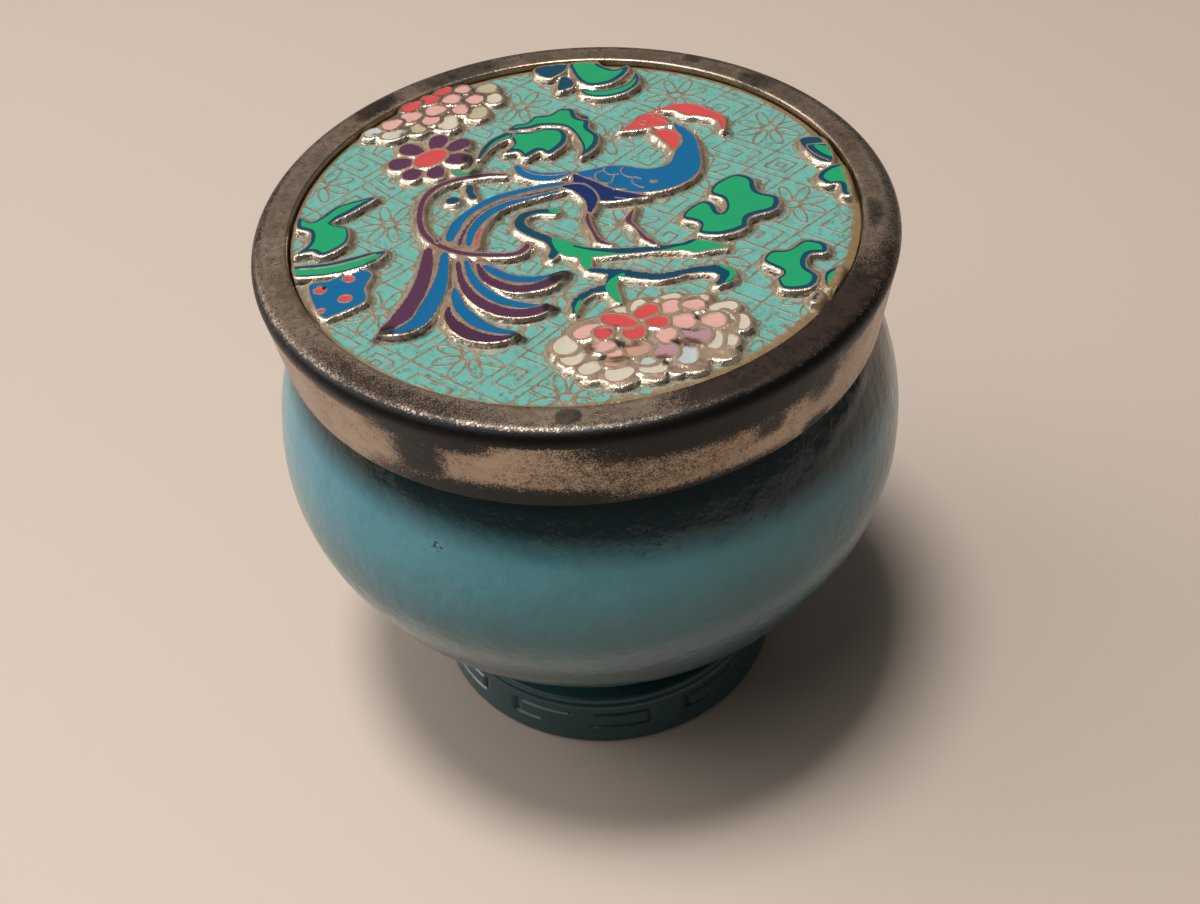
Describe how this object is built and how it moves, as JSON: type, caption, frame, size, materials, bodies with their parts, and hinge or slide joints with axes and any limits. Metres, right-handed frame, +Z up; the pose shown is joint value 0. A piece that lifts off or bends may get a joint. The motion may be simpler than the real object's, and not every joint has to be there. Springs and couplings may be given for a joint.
{
  "type": "footed trinket jar with embossed enamel lid",
  "caption": "Round footed metal jar, hollow, with a lift-off metal lid whose embossed enamel disc shows a crested bird among leaves and peonies.",
  "frame": {"origin": "centre of the foot's underside", "axes": "+Z up along the jar's axis, -Y towards the front of the picture (its lower edge), +X to the viewer's right"},
  "size_m": [0.0798, 0.0798, 0.0734],
  "materials": {
    "turquoise_paint": "semi-gloss teal enamel paint, slightly uneven, with pits",
    "tarnished_nickel": "worn nickel plate with brown tarnish",
    "painted_enamel": "semi-gloss painted enamel in turquoise, green, blue, purple, coral and pink on embossed bare metal"
  },
  "bodies": {
    "root": {"jar_body": "turquoise_paint", "lid_rim": "tarnished_nickel", "lid_plaque": "painted_enamel"}
  },
  "joints": []
}
